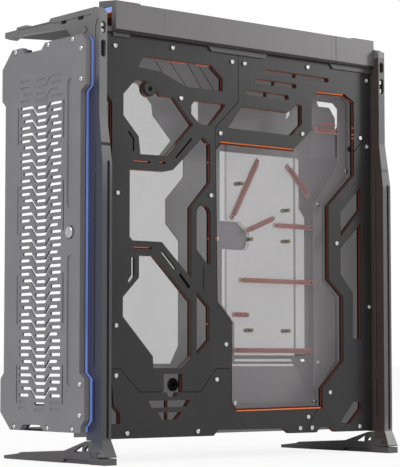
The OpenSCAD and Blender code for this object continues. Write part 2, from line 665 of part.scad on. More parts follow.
// top, bottom, rear and glass
module top_plate() {
  color([0.4, 0.39, 0.4]) translate([0, 0, top_z]) linear_extrude(sheet_t) difference() {
    polygon([[-frame_gap, rail_y1], [L, rail_y1], [L, arm_tip - 12], [L - 60, body_d - 14],
             [40, body_d - 14], [-frame_gap, arm_tip - 12]]);
    for (i = [0:19]) stroke([60 + i * 19, 66], [60 + i * 19, body_d - 46], 8);
  }
}
module bottom_plate() {
  color([0.3, 0.3, 0.31]) translate([0, 0, bottom_z]) linear_extrude(sheet_t) difference() {
    translate([front_x + sheet_t, tray_back]) square([rear_panel_x - front_x - sheet_t, body_d - tray_back]);
    for (i = [0:17]) stroke([40 + i * 12, tray_back + 30], [40 + i * 12, body_d - 30], 5);
  }
}
io_y = tray_back + 3;
io_z = 287;
module rear_panel() {
  color([0.3, 0.3, 0.31]) stand_yz(rear_panel_x, sheet_t) difference() {
    translate([0, 4]) square([body_d, H - 12]);
    // board connector opening, expansion slots, supply opening, vents
    translate([io_y, io_z]) square([44.5, 158.8]);
    for (i = [0:6]) translate([io_y + 6, 148 + i * 20.3]) square([96, 13]);
    translate([io_y + 3, 22]) square([body_d - io_y - 12, 90]);
    for (i = [0:6]) stroke([io_y + 62, io_z + 4 + i * 15], [body_d - 14, io_z + 4 + i * 15], 7);
    // exhaust opening beside and above the board's connectors
    polygon([[io_y + 52, io_z + 119], [io_y + 62, io_z + 109], [body_d - 20, io_z + 109],
             [body_d - 10, io_z + 119], [body_d - 10, H - 32], [body_d - 20, H - 22],
             [io_y + 14, H - 22], [io_y + 4, H - 32], [io_y + 4, H - 68], [io_y + 12, H - 76],
             [io_y + 44, H - 76], [io_y + 52, H - 84]]);
  }
}
module slot_covers() {
  color([0.3, 0.3, 0.31]) for (i = [0:6])
    translate([rear_panel_x - 1.2, io_y + 3, 148 + i * 20.3 - 1.5]) cube([1.2, 102, 16]);
}
module side_glass() {
  color([0.6, 0.6, 0.62, 0.5]) stand_xz(body_d, glass_t)
    translate([glass_from, 4]) square([rear_end - glass_from, H + 1]);
}

// fasteners
module screw_y(p, y, len) {
  color([0.8, 0.8, 0.8]) translate([p[0], y, p[1]]) rotate([-90, 0, 0]) difference() {
    rotate_extrude() polygon([[0, -head_h], [head_r - 0.6, -head_h], [head_r, -head_h + 0.6],
                              [head_r, 0], [shank_r, 0], [shank_r, len], [0, len]]);
    translate([0, 0, -head_h - 1]) cylinder(r = 1.5, h = 2.4, $fn = 6);
  }
}
module screw_x(x, p, len) {
  color([0.8, 0.8, 0.8]) translate([x, p[0], p[1]]) rotate([0, 90, 0]) difference() {
    rotate_extrude() polygon([[0, -head_h], [head_r - 0.6, -head_h], [head_r, -head_h + 0.6],
                              [head_r, 0], [shank_r, 0], [shank_r, len], [0, len]]);
    translate([0, 0, -head_h - 1]) cylinder(r = 1.5, h = 2.4, $fn = 6);
  }
}
module side_screws() { for (p = clamp_pts) screw_y(p, 0, plate_t + glow_t - 0.6); }
module post_screws() { for (p = post_pts) screw_y(p, 0, plate_t + glow_t + 5); }
module panel_screws() { for (p = panel_screw_pts) screw_x(skin_x, p, fold_d + glow_t + 7); }
module edge_screws() {
  for (p = edge_screw_pts) screw_x(skin_x + seat_d, p, fold_d - seat_d + glow_t + sheet_t);
}
module column_screws() {
  for (z = front_zs) screw_y([front_x + 6.3, z], -proud_top + 5, 9);
  for (z = rear_zs) screw_y([rear_x + 6.3, z], -proud_top + 5, 9);
}
module board_screws() {
  for (p = board_screw_pts) screw_y(p, board_y, board_t + sheet_t);
  screw_y(tab_screw_p, tray_y, sheet_t + 2);
}
module cover_screws() { for (p = cover_screw_pts) screw_y(p, board_y - cover_t, cover_t + board_t + sheet_t); }

// power button and its switch
module power_button() {
  color([0.82, 0.82, 0.82]) union() {
    translate([skin_x, button_y, button_z]) rotate([0, 90, 0])
      rotate_extrude() polygon([[0, -button_proud], [button_r - 0.8, -button_proud],
                                [button_r, -button_proud + 0.8], [button_r, skin_t + 1.4],
                                [3, skin_t + 1.4], [3, skin_t + 5], [0, skin_t + 5]]);
  }
}
module power_switch() {
  color([0.1, 0.1, 0.1]) translate([skin_x + skin_t, button_y, button_z]) rotate([0, 90, 0])
    difference() {
      cylinder(r = switch_r, h = 9.5);
      translate([0, 0, -1]) cylinder(r = button_r + button_gap, h = 2.6 + button_travel);
      translate([0, 0, 1]) cylinder(r = 3.3, h = 4.6 + button_travel);
    }
}

translate(shift) {
  front_column();
  rear_column();
  front_foot();
  rear_foot();
  front_arm();
  rear_arm();
  front_panel();
  front_glow_sheet();
  front_bulkhead();
  side_plate_front();
  side_plate_top();
  side_plate_rear();
  side_plate_bottom();
  side_glow_sheet();
  spacer_posts();
  tray();
  board_sheet();
  cover_plate();
  comb_upper_left();
  comb_upper_right();
  comb_middle_left();
  comb_middle_right();
  comb_long_upper();
  comb_short();
  comb_long_lower();
  comb_top();
  board_standoffs();
  side_bush();
  tray_bush();
  rail_front();
  rail_middle();
  rail_rear();
  rail_blue_bar();
  rail_orange_bar();
  top_plate();
  bottom_plate();
  rear_panel();
  slot_covers();
  side_glass();
  side_screws();
  post_screws();
  panel_screws();
  edge_screws();
  column_screws();
  board_screws();
  cover_screws();
  power_button();
  power_switch();
}
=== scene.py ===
"""Studio scene of a full-tower computer case.

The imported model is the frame. Each sub-assembly below dresses its own nodes with a
procedural finish and adds the fine pieces that the solids leave out. Lengths are metres.
"""

from __future__ import annotations

import json
import logging
import math
from dataclasses import dataclass
from enum import Enum
from typing import Sequence

import bmesh
import bpy
import numpy as np
from mathutils import Matrix, Vector

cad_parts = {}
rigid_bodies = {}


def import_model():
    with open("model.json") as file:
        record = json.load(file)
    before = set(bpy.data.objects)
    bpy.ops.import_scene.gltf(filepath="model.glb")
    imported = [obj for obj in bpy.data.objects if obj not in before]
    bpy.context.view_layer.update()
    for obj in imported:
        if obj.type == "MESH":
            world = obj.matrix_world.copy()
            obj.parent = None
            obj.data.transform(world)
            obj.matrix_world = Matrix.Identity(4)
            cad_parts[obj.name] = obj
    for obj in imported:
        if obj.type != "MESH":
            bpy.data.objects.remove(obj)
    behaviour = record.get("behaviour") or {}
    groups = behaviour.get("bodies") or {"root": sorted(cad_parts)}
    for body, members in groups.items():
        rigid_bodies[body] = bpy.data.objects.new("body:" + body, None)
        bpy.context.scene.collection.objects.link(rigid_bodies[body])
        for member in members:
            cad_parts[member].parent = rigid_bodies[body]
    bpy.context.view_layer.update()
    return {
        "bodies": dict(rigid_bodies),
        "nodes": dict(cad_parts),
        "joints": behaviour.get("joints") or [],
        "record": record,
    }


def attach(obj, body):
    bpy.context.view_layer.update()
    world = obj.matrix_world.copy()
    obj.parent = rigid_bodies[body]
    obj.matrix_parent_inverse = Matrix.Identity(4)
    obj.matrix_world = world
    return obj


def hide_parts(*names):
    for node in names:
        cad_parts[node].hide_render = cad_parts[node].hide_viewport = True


LOG = logging.getLogger("case")
Triple = tuple[float, float, float]
Colour = tuple[float, float, float]
Loop = Sequence[tuple[float, float]]

EVEN: Triple = (1.0, 1.0, 1.0)
MM_PER_M = 1000.0
SHIFT = np.array([-0.22775, -0.089, 0.0325])  # the source's origin in the row frame, metres
LENGTH = 486.6  # the dark side's length, in the source's millimetres
HAIR = 0.0001  # how far a sharp mask takes to fade, metres
BEVEL_SAMPLES = 4


class Axis(Enum):
    """The row axis that a grain runs along, or a sheet's faces look along."""

    X = 0
    Y = 1
    Z = 2


Cut = tuple[Loop, float, float, Axis]


# Shader maths


class Wire:
    """One output of a material's graph, usable in Python arithmetic."""

    def __init__(self, graph: Graph, socket: bpy.types.NodeSocket) -> None:
        """Keeps the graph and the socket.

        Args:
            graph: the graph that the socket belongs to.
            socket: the output socket.
        """
        self.graph = graph
        self.socket = socket

    def _math(
        self, operation: str, first: Wire | float, second: Wire | float, clamp: bool = False
    ) -> Wire:
        """Adds one Math node.

        Args:
            operation: the node's operation.
            first: the first operand.
            second: the second operand.
            clamp: True keeps the result from 0 to 1.

        Returns:
            The node's value.
        """
        settings = {"operation": operation, "use_clamp": clamp}
        return self.graph.add("ShaderNodeMath", settings, {0: first, 1: second})

    def __add__(self, other: Wire | float) -> Wire:
        """Adds a value.

        Args:
            other: the value on the right.

        Returns:
            The sum.
        """
        return self._math("ADD", self, other)

    def __sub__(self, other: Wire | float) -> Wire:
        """Takes a value away.

        Args:
            other: the value on the right.

        Returns:
            The difference.
        """
        return self._math("SUBTRACT", self, other)

    def __rsub__(self, other: float) -> Wire:
        """Takes this value away from a number.

        Args:
            other: the number on the left.

        Returns:
            The difference.
        """
        return self._math("SUBTRACT", other, self)

    def __mul__(self, other: Wire | float) -> Wire:
        """Multiplies by a value.

        Args:
            other: the value on the right.

        Returns:
            The product.
        """
        return self._math("MULTIPLY", self, other)

    def __abs__(self) -> Wire:
        """Drops the sign.

        Returns:
            The absolute value.
        """
        return self._math("ABSOLUTE", self, 0.0)

    def clamp(self) -> Wire:
        """Keeps the value from 0 to 1.

        Returns:
            The kept value.
        """
        return self._math("ADD", self, 0.0, True)

    def ease(self, low: float, high: float) -> Wire:
        """A smooth step from 0 at low to 1 at high.

        Args:
            low: where the step starts.
            high: where the step ends.

        Returns:
            The step's value.
        """
        return self.graph.add(
            "ShaderNodeMapRange",
            {"interpolation_type": "SMOOTHSTEP"},
            {"Value": self, "From Min": low, "From Max": high},
        )


class Graph:
    """The node graph of one material, with one method that adds any node."""

    def __init__(self, name: str) -> None:
        """Makes an empty material.

        Args:
            name: the material's name.
        """
        self.material = bpy.data.materials.new(name)
        self.material.use_nodes = True
        self.tree = self.material.node_tree
        self.tree.nodes.clear()
        self.sink = self.tree.nodes.new("ShaderNodeOutputMaterial")

    def add(
        self,
        kind: str,
        settings: dict[str, object] | None = None,
        inputs: dict[str | int, object] | None = None,
        output: str | int = 0,
    ) -> Wire:
        """Adds a node.

        Args:
            kind: the node's type.
            settings: attributes set before the sockets.
            inputs: sockets by name or number, each a value or a Wire.
            output: the output that is returned.

        Returns:
            The chosen output.
        """
        node = self.tree.nodes.new(kind)
        for key, value in (settings or {}).items():
            setattr(node, key, value)
        for key, value in (inputs or {}).items():
            socket = node.inputs[key]
            if isinstance(value, Wire):
                self.tree.links.new(value.socket, socket)
            elif isinstance(value, tuple) and socket.type == "RGBA" and len(value) == 3:
                socket.default_value = (*value, 1.0)
            else:
                socket.default_value = value
        return Wire(self, node.outputs[output])

    def place(self, stretch: Triple = EVEN) -> Wire:
        """Object coordinates, stretched along each axis.

        Args:
            stretch: the factor along X, Y and Z.

        Returns:
            The coordinates.
        """
        coords = self.add("ShaderNodeTexCoord", output="Object")
        if stretch == EVEN:
            return coords
        return self.add("ShaderNodeMapping", None, {"Vector": coords, "Scale": stretch})

    def noise(self, scale: float, detail: float = 2.0, stretch: Triple = EVEN) -> Wire:
        """Noise on Object coordinates.

        Args:
            scale: waves per metre.
            detail: octaves.
            stretch: the factor along X, Y and Z.

        Returns:
            The noise, 0.5 on average.
        """
        sockets = {"Vector": self.place(stretch), "Scale": scale, "Detail": detail}
        return self.add("ShaderNodeTexNoise", None, sockets, "Fac")

    def part(self, vector: Wire, axis: Axis) -> Wire:
        """One component of a vector.

        Args:
            vector: the vector.
            axis: which component.

        Returns:
            The component.
        """
        return self.add("ShaderNodeSeparateXYZ", None, {0: vector}, axis.value)

    def facing(self, axis: Axis) -> Wire:
        """How squarely the surface looks along an axis, from 0 to 1.

        Args:
            axis: the axis.

        Returns:
            The absolute component of the true normal.
        """
        return abs(self.part(self.add("ShaderNodeNewGeometry", output="True Normal"), axis))

    def cut_edges(self, across: Axis) -> Wire:
        """1 on the narrow cut edges of a sheet, 0 on its broad faces.

        Args:
            across: the axis that its broad faces look along.

        Returns:
            The mask.
        """
        return 1.0 - self.facing(across).ease(0.3, 0.8)

    def between(self, axis: Axis, low: float, high: float, rise: float, fall: float) -> Wire:
        """1 where a coordinate lies between two values, fading to 0 outside them.

        Args:
            axis: the coordinate's axis.
            low: where the band begins.
            high: where it ends.
            rise: how far below the band the fade starts.
            fall: how far past the band it ends.

        Returns:
            The mask.
        """
        place = self.part(self.place(), axis)
        return place.ease(low - rise, low) * (1.0 - place.ease(high, high + fall))

    def round_normal(self, radius: float) -> Wire:
        """The normal as if every edge were rounded.

        Args:
            radius: the radius.

        Returns:
            The normal.
        """
        return self.add("ShaderNodeBevel", {"samples": BEVEL_SAMPLES}, {"Radius": radius}, "Normal")

    def edge(self, radius: float) -> Wire:
        """1 on the outer and inner edges of a solid, 0 on its faces.

        Args:
            radius: how far the edge reaches.

        Returns:
            The mask.
        """
        hard = self.add("ShaderNodeNewGeometry", output="True Normal")
        sockets = {0: self.round_normal(radius), 1: hard}
        dot = self.add("ShaderNodeVectorMath", {"operation": "DOT_PRODUCT"}, sockets, "Value")
        return (1.0 - dot).ease(0.02, 0.2)

    def blend(self, factor: Wire, first: Colour | Wire, second: Colour | Wire) -> Wire:
        """A colour between two colours.

        Args:
            factor: 0 gives the first, 1 the second.
            first: a colour.
            second: a colour.

        Returns:
            The mixed colour.
        """
        settings = {"data_type": "RGBA", "clamp_factor": True}
        return self.add("ShaderNodeMix", settings, {0: factor, 6: first, 7: second}, 2)

    def bump(self, height: Wire, distance: float, strength: float, radius: float = 0.0) -> Wire:
        """A bumped normal, with edges rounded where a radius is given.

        Args:
            height: the height, 0 to 1.
            distance: the height of 1 in metres.
            strength: the strength.
            radius: the radius of rounded edges.

        Returns:
            The normal.
        """
        sockets = {"Height": height, "Distance": distance, "Strength": strength}
        if radius:
            sockets["Normal"] = self.round_normal(radius)
        return self.add("ShaderNodeBump", None, sockets)

    def surface(self, **sockets: object) -> bpy.types.Material:
        """Ends the graph in a Principled shader.

        Args:
            **sockets: its sockets, with underscores for spaces.

        Returns:
            The material.
        """
        named = {key.replace("_", " "): value for key, value in sockets.items()}
        shader = self.add("ShaderNodeBsdfPrincipled", None, named)
        self.tree.links.new(shader.socket, self.sink.inputs["Surface"])
        return self.material


def shade(colour: Colour, factor: float) -> Colour:
    """A colour made lighter or darker.

    Args:
        colour: the colour.
        factor: above 1 is lighter.

    Returns:
        The colour, kept from 0 to 1.
    """
    return tuple(min(1.0, channel * factor) for channel in colour)


# Finishes


@dataclass(frozen=True)
class PaintedPatch:
    """A soft patch of colour on faces that look one way: painted light where a neighbour's glow
    falls, painted shade where its shadow falls.
    """

    colour: Colour
    facing: Axis
    low: Triple
    high: Triple
    amount: float = 0.6
    fade: float = 0.01

    def mask(self, g: Graph) -> Wire:
        """Where the patch lies.

        Args:
            g: the material's graph.

        Returns:
            The mask, 0 to its amount.
        """
        inside = g.facing(self.facing).ease(0.6, 0.9) * self.amount
        for axis, low, high in zip(Axis, self.low, self.high):
            inside = inside * g.between(axis, low, high, self.fade, self.fade)
        return inside


@dataclass(frozen=True)
class Anodised:
    """Bead-blasted and anodised metal: fine grain, cloudy tone and rubbed edges.

    The floors are depths at which slots end, painted near black as painted shade for the
    slot's depth. The glow strength is painted light, a light of the surface's own that
    brightens what stands behind dark glass. The patches are painted light and painted shade
    that neighbours throw.
    """

    colour: Colour
    rough: float = 0.45
    metallic: float = 0.45
    grain: float = 1500.0
    depth: float = 0.00001
    clouds: float = 0.05
    rub: float = 0.3
    radius: float = 0.0007
    along: Triple = EVEN
    painted_glow: float = 0.0
    floors: tuple[tuple[Axis, float, float], ...] = ()
    painted_patches: tuple[PaintedPatch, ...] = ()

    def material(self, name: str) -> bpy.types.Material:
        """Builds the material.

        Args:
            name: the material's name.

        Returns:
            The material.
        """
        g = Graph(name)
        grain = g.noise(self.grain, 3.0, self.along)
        cloud = g.noise(14.0, 3.0)
        edge = g.edge(self.radius)
        scuff = (g.noise(260.0, 4.0) - 0.45).ease(0.0, 0.2) * edge * self.rub
        darker, lighter = (shade(self.colour, 1.0 + k * self.clouds) for k in (-1.0, 1.0))
        tone = g.blend(cloud.ease(0.3, 0.7) * 0.7 + grain * 0.3, darker, lighter)
        tone = g.blend(scuff, tone, shade(self.colour, 2.0))
        # Slot floors painted near black: painted shade for the depth of each slot.
        for axis, low, high in self.floors:
            inside = g.between(axis, low, high, HAIR, HAIR)
            tone = g.blend(inside * g.facing(axis).ease(0.8, 0.95) * 0.92, tone, SLOT_FLOOR_SHADE)
        # Patches of painted light and painted shade, where a neighbour's glow and shadow fall.
        for painted_patch in self.painted_patches:
            tone = g.blend(painted_patch.mask(g), tone, painted_patch.colour)
        rough = (grain - 0.5) * 0.12 + (cloud - 0.5) * 0.1 + self.rough - scuff * 0.12
        return g.surface(
            Base_Color=tone,
            Roughness=rough.clamp(),
            Metallic=self.metallic,
            # The surface's own glow is painted light that brightens what stands behind dark glass.
            Emission_Color=g.blend(cloud, shade(self.colour, 0.92), self.colour),
            Emission_Strength=self.painted_glow,
            Normal=g.bump(grain, self.depth, 0.6, self.radius),
        )


@dataclass(frozen=True)
class LitAcrylic:
    """Edge-lit acrylic: its cut edges glow, its broad faces hardly.

    The face is the share of light that the broad faces give. Where the sheet is caught
    behind a dark plate, a thin seam line is all that shines on upright edges, and level
    edges keep a faint light of their own. A profile keeps the light to the middle of an
    edge, and a reach ends it past that Y.
    """

    colour: Colour
    glow: Colour
    across: Axis
    face: float = 0.0
    seam: tuple[float, float] | None = None
    seam_light: tuple[float, float] = (0.45, 0.7)
    level_light: float = 0.16
    profile: tuple[Axis, float, float] | None = None
    reach: float | None = None

    def material(self, name: str) -> bpy.types.Material:
        """Builds the material.

        Args:
            name: the material's name.

        Returns:
            The material.
        """
        g = Graph(name)
        cut = g.cut_edges(self.across)
        patch = g.noise(9.0, 2.0).ease(0.25, 0.75) * 0.4 + 0.6
        saw = g.noise(900.0, 2.0)
        lit = cut * patch
        if self.seam is not None:
            flat = g.facing(Axis.Z).ease(0.8, 0.95)
            line = g.between(Axis.Y, *self.seam, HAIR, 2.0 * HAIR)
            upright, level = self.seam_light
            lit = lit * (line * (flat * (level - upright) + upright) + flat * self.level_light)
        lit = lit * (1.0 - self.face) + patch * self.face
        if self.profile is not None:
            axis, middle, half = self.profile
            away = abs(g.part(g.place(), axis) - middle)
            lit = lit * (1.0 - away.ease(half * 0.6, half) * 0.9)
        if self.reach is not None:
            lit = lit * (1.0 - g.part(g.place(), Axis.Y).ease(self.reach, self.reach + 0.01))
        return g.surface(
            Base_Color=g.blend(cut, self.colour, shade(self.colour, 1.35)),
            Roughness=(saw * 0.18 + 0.3).clamp(),
            Specular_IOR_Level=0.15,
            Emission_Color=g.blend(lit, (0.0, 0.0, 0.0), self.glow),
            Emission_Strength=1.0,
            Normal=g.bump(saw * cut, 0.00002, 0.5),
        )


@dataclass(frozen=True)
class ClearSheet:
    """A see-through sheet: bare faces, brighter cut edges, faint smears."""

    colour: Colour
    across: Axis
    alpha: float
    edge_alpha: float = 0.85
    edge_tone: Colour = (0.6, 0.6, 0.62)

    def material(self, name: str) -> bpy.types.Material:
        """Builds the material.

        Args:
            name: the material's name.

        Returns:
            The material.
        """
        g = Graph(name)
        cut = g.cut_edges(self.across)
        smear = g.noise(30.0, 3.0, (1.0, 1.0, 0.4))
        see = cut * (self.edge_alpha - self.alpha) + self.alpha
        return g.surface(
            Base_Color=g.blend(cut, self.colour, self.edge_tone),
            Roughness=(smear * 0.12 + 0.04).clamp(),
            Alpha=(see + (smear - 0.5) * 0.02).clamp(),
            IOR=1.49,
            Normal=g.bump(g.noise(40.0), 0.00002, 0.2),
        )


@dataclass(frozen=True)
class Turned:
    """Turned or brushed bright metal with fine tool marks."""

    colour: Colour
    rough: float = 0.28
    marks: float = 2600.0
    metallic: float = 1.0

    def material(self, name: str) -> bpy.types.Material:
        """Builds the material.

        Args:
            name: the material's name.

        Returns:
            The material.
        """
        g = Graph(name)
        marks = g.noise(self.marks, 2.0)
        edge = g.edge(0.0003)
        tone = g.blend(marks, shade(self.colour, 0.88), shade(self.colour, 1.1))
        return g.surface(
            Base_Color=g.blend(edge * 0.4, tone, shade(self.colour, 1.3)),
            Roughness=(marks * 0.15 + self.rough - 0.07).clamp(),
            Metallic=self.metallic,
            Normal=g.bump(marks, 0.00001, 0.5, 0.0003),
        )


@dataclass(frozen=True)
class Moulded:
    """Moulded plastic with a fine spark-eroded texture."""

    colour: Colour
    rough: float = 0.5

    def material(self, name: str) -> bpy.types.Material:
        """Builds the material.

        Args:
            name: the material's name.

        Returns:
            The material.
        """
        g = Graph(name)
        sockets = {"Vector": g.place(), "Scale": 1800.0}
        pits = g.add("ShaderNodeTexVoronoi", None, sockets, "Distance")
        cloud = g.noise(60.0)
        return g.surface(
            Base_Color=g.blend(cloud, shade(self.colour, 0.8), shade(self.colour, 1.3)),
            Roughness=(pits * 0.15 + self.rough - 0.05).clamp(),
            Normal=g.bump(pits, 0.00002, 0.6, 0.0004),
        )


# Depths of slot floors, painted near black as painted shade, and patches of painted light and
# painted shade where a neighbour's glow and shadow fall

# Painted shade: the near-black colour of the slot floors.
SLOT_FLOOR_SHADE = (0.006, 0.006, 0.006)
SLOT_FLOORS = (
    (Axis.X, -0.2613, -0.2608),
    (Axis.X, 0.2598, 0.2603),
    (Axis.Y, -0.1118, -0.1114),
    (Axis.Y, -0.1023, -0.1017),
)
# Painted light: the orange glow of the side sheet on the rear column's front-facing faces.
PAINTED_ORANGE_GLOW = PaintedPatch((0.06, 0.03, 0.027), Axis.X, (0.24, -0.2, 0.0), (0.27, 0.1, 0.7), 0.75)
# Painted light: the blue glow of the front sheet on the front column's front-facing faces.
PAINTED_BLUE_GLOW = PaintedPatch((0.05, 0.052, 0.095), Axis.X, (-0.3, -0.12, 0.03), (-0.255, -0.09, 0.5), 0.85, 0.02)
# Painted shade: the front column's side faces darker towards the bottom, where less light falls.
PAINTED_LOW_SHADE = PaintedPatch((0.045, 0.045, 0.044), Axis.Y, (-0.3, -0.2, 0.05), (-0.22, 0.0, 0.33), 0.75, 0.12)
# Painted shade: the rear column's side faces darker than the front column's.
PAINTED_REAR_SHADE = PaintedPatch((0.09, 0.086, 0.087), Axis.Y, (0.24, -0.2, 0.06), (0.3, 0.0, 0.7), 0.7, 0.03)
# Painted shade on the rail's lip below the rail.
PAINTED_LIP_SHADE = PaintedPatch((0.075, 0.072, 0.072), Axis.Y, (-0.3, -0.2, 0.56), (0.3, 0.0, 0.5785), 0.8, 0.0005)
# Painted shadow along the rail's lower edge, where it overhangs the plates.
PAINTED_RAIL_SHADOW = PaintedPatch((0.008, 0.003, 0.002), Axis.Y, (-0.3, -0.2, 0.5788), (0.3, 0.0, 0.5822), 1.0, 0.0005)
# Painted shadow on the top strip of the dark plates, under the rail.
PAINTED_PLATE_SHADOW = PaintedPatch((0.004, 0.002, 0.002), Axis.Y, (-0.3, -0.2, 0.577), (0.3, 0.0, 0.5822), 0.9, 0.002)

# The record's material slots first, then looks that a piece wears instead of its slot's

FINISHES: dict[str, object] = {
    "frame_metal": Anodised(
        (0.19, 0.187, 0.187), floors=SLOT_FLOORS, painted_patches=(PAINTED_ORANGE_GLOW, PAINTED_BLUE_GLOW, PAINTED_LOW_SHADE, PAINTED_REAR_SHADE)
    ),
    "foot_metal": Anodised((0.12, 0.115, 0.12), rub=0.6),
    "arm_metal": Anodised((0.2, 0.195, 0.2)),
    "rail_metal": Anodised((0.165, 0.16, 0.163), along=(0.15, 1.0, 1.0), painted_patches=(PAINTED_LIP_SHADE, PAINTED_RAIL_SHADOW)),
    "front_metal": Anodised((0.245, 0.24, 0.25)),
    "black_metal": Anodised(
        (0.021, 0.019, 0.019), rough=0.36, metallic=0.1, clouds=0.12, rub=0.25, painted_patches=(PAINTED_PLATE_SHADOW,)
    ),
    "inner_black": Anodised(
        (0.03, 0.03, 0.032), rough=0.6, metallic=0.0, grain=900.0, depth=0.00003
    ),
    # The tray's glow is painted light that evens out its shade behind the dark plates.
    "tray_metal": Anodised(
        (0.1, 0.097, 0.1), rough=0.6, metallic=0.0, grain=900.0, rub=0.1, painted_glow=0.95
    ),
    # The cover plate's glow is painted light as well.
    "cover_metal": Anodised(
        (0.17, 0.158, 0.165), rough=0.4, metallic=0.1, along=(1.0, 1.0, 0.08), painted_glow=0.45
    ),
    "blue_acrylic": LitAcrylic(
        (0.02, 0.025, 0.07),
        (0.14, 0.22, 0.58),
        Axis.X,
        profile=(Axis.X, -0.26475, 0.0023),
        reach=-0.08,
    ),
    "orange_acrylic": LitAcrylic(
        (0.01, 0.004, 0.003),
        (0.8, 0.15, 0.07),
        Axis.Y,
        seam=(-0.085, -0.0843),
        seam_light=(0.33, 0.6),
    ),
    "comb_acrylic": LitAcrylic((0.33, 0.27, 0.265), (0.12, 0.04, 0.035), Axis.Y, 0.4),
    "clear_acrylic": ClearSheet((0.45, 0.42, 0.44), Axis.Y, 0.16, 0.4, (0.3, 0.29, 0.3)),
    "side_glass": ClearSheet((0.3, 0.295, 0.3), Axis.Y, 0.34, 0.34, (0.3, 0.295, 0.3)),
    "standoff_metal": Turned((0.22, 0.19, 0.12), 0.35),
    "screw_steel": Turned((0.8, 0.8, 0.8), 0.25),
    "button_metal": Turned((0.66, 0.66, 0.67), 0.32),
    "black_plastic": Moulded((0.012, 0.012, 0.012)),
    "rail_blue": LitAcrylic((0.05, 0.07, 0.15), (0.22, 0.34, 0.75), Axis.X, 1.0),
    "rail_orange": LitAcrylic(
        (0.01, 0.004, 0.003), (0.7, 0.16, 0.05), Axis.X, 1.0, profile=(Axis.Z, 0.6065, 0.0009)
    ),
    "bright_line": LitAcrylic((0.1, 0.02, 0.01), (0.75, 0.19, 0.06), Axis.Y, 1.0),
    "thin_line": LitAcrylic((0.03, 0.01, 0.01), (0.25, 0.06, 0.04), Axis.Y, 1.0),
    "dark_rim": LitAcrylic((0.008, 0.004, 0.004), (0.02, 0.008, 0.006), Axis.Y, 1.0),
    "etched_line": Moulded((0.05, 0.033, 0.033)),
    "soft_line": LitAcrylic((0.05, 0.02, 0.01), (0.48, 0.12, 0.08), Axis.Y, 1.0),
    "comb_tooth": LitAcrylic((0.24, 0.175, 0.17), (0.13, 0.055, 0.048), Axis.Y),
    "comb_line": LitAcrylic((0.1, 0.05, 0.04), (0.6, 0.24, 0.18), Axis.Y, 1.0),
    "rear_glass": ClearSheet((0.3, 0.295, 0.3), Axis.X, 0.34, 0.9, (0.2, 0.22, 0.22)),
}
NODE_LOOKS = {"rail_blue_bar": "rail_blue", "rail_orange_bar": "rail_orange"}


# Studio


@dataclass(frozen=True)
class Lamp:
    """One soft rectangular lamp."""

    name: str
    at: Triple
    to: Triple
    size: tuple[float, float]
    watts: float

    def hang(self) -> None:
        """Puts the lamp into the scene, looking at its target."""
        data = bpy.data.lights.new(self.name, "AREA")
        data.shape = "RECTANGLE"
        data.size, data.size_y = self.size
        data.energy = self.watts
        lamp = bpy.data.objects.new(self.name, data)
        ray = Vector(self.to) - Vector(self.at)
        lamp.rotation_euler = ray.to_track_quat("-Z", "Y").to_euler()
        lamp.location = self.at
        bpy.context.scene.collection.objects.link(lamp)


LAMPS = (
    Lamp("key", (-2.2, -1.0, 2.6), (0.0, 0.0, 0.35), (1.6, 1.6), 38.0),
    Lamp("fill", (2.6, -1.7, 1.4), (0.0, 0.0, 0.35), (0.8, 0.8), 24.0),
    Lamp("back", (0.6, 2.4, 2.0), (0.0, 0.0, 0.3), (1.6, 1.2), 10.0),
)
FLOOR_RINGS = (0.4, 1.2, 4.0, 20.0, 90.0)
FLOOR_SIDES = 96
FLOOR_WHITENESS = 0.88


